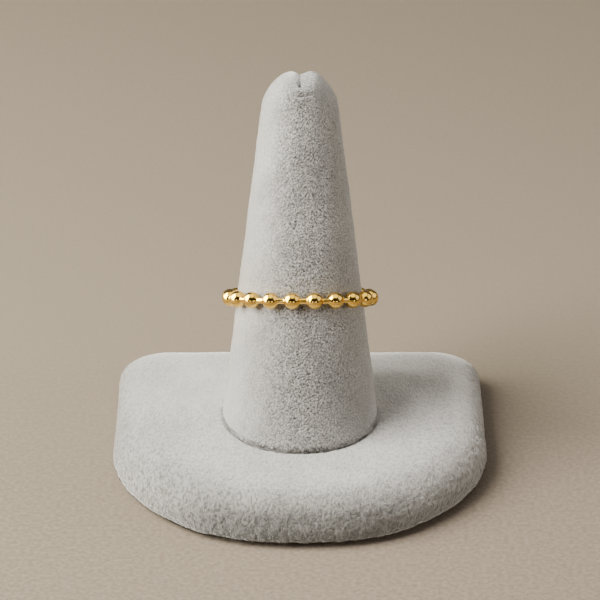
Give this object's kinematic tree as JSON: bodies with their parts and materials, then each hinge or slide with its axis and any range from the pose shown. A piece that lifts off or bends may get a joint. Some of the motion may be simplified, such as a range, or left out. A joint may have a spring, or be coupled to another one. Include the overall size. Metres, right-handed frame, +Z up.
{
  "type": "beaded ring on a ring display stand",
  "caption": "Gold ring of polished balls on a round wire, hung on a leaning velvet finger that stands on a padded base with a rounded front.",
  "frame": {"origin": "centre of the base's underside, which stands on the table", "axes": "+Z up, -Y towards the rounded front of the base, +Y towards its straight back, the way the finger leans"},
  "size_m": [0.0514, 0.049, 0.0517],
  "materials": {
    "gold": "polished yellow gold",
    "finger_velvet": "light grey short-pile velvet",
    "base_velvet": "light grey short-pile velvet, brushed in patches"
  },
  "bodies": {
    "root": {"beaded_ring": "gold", "display_finger": "finger_velvet", "display_base": "base_velvet"}
  },
  "joints": []
}
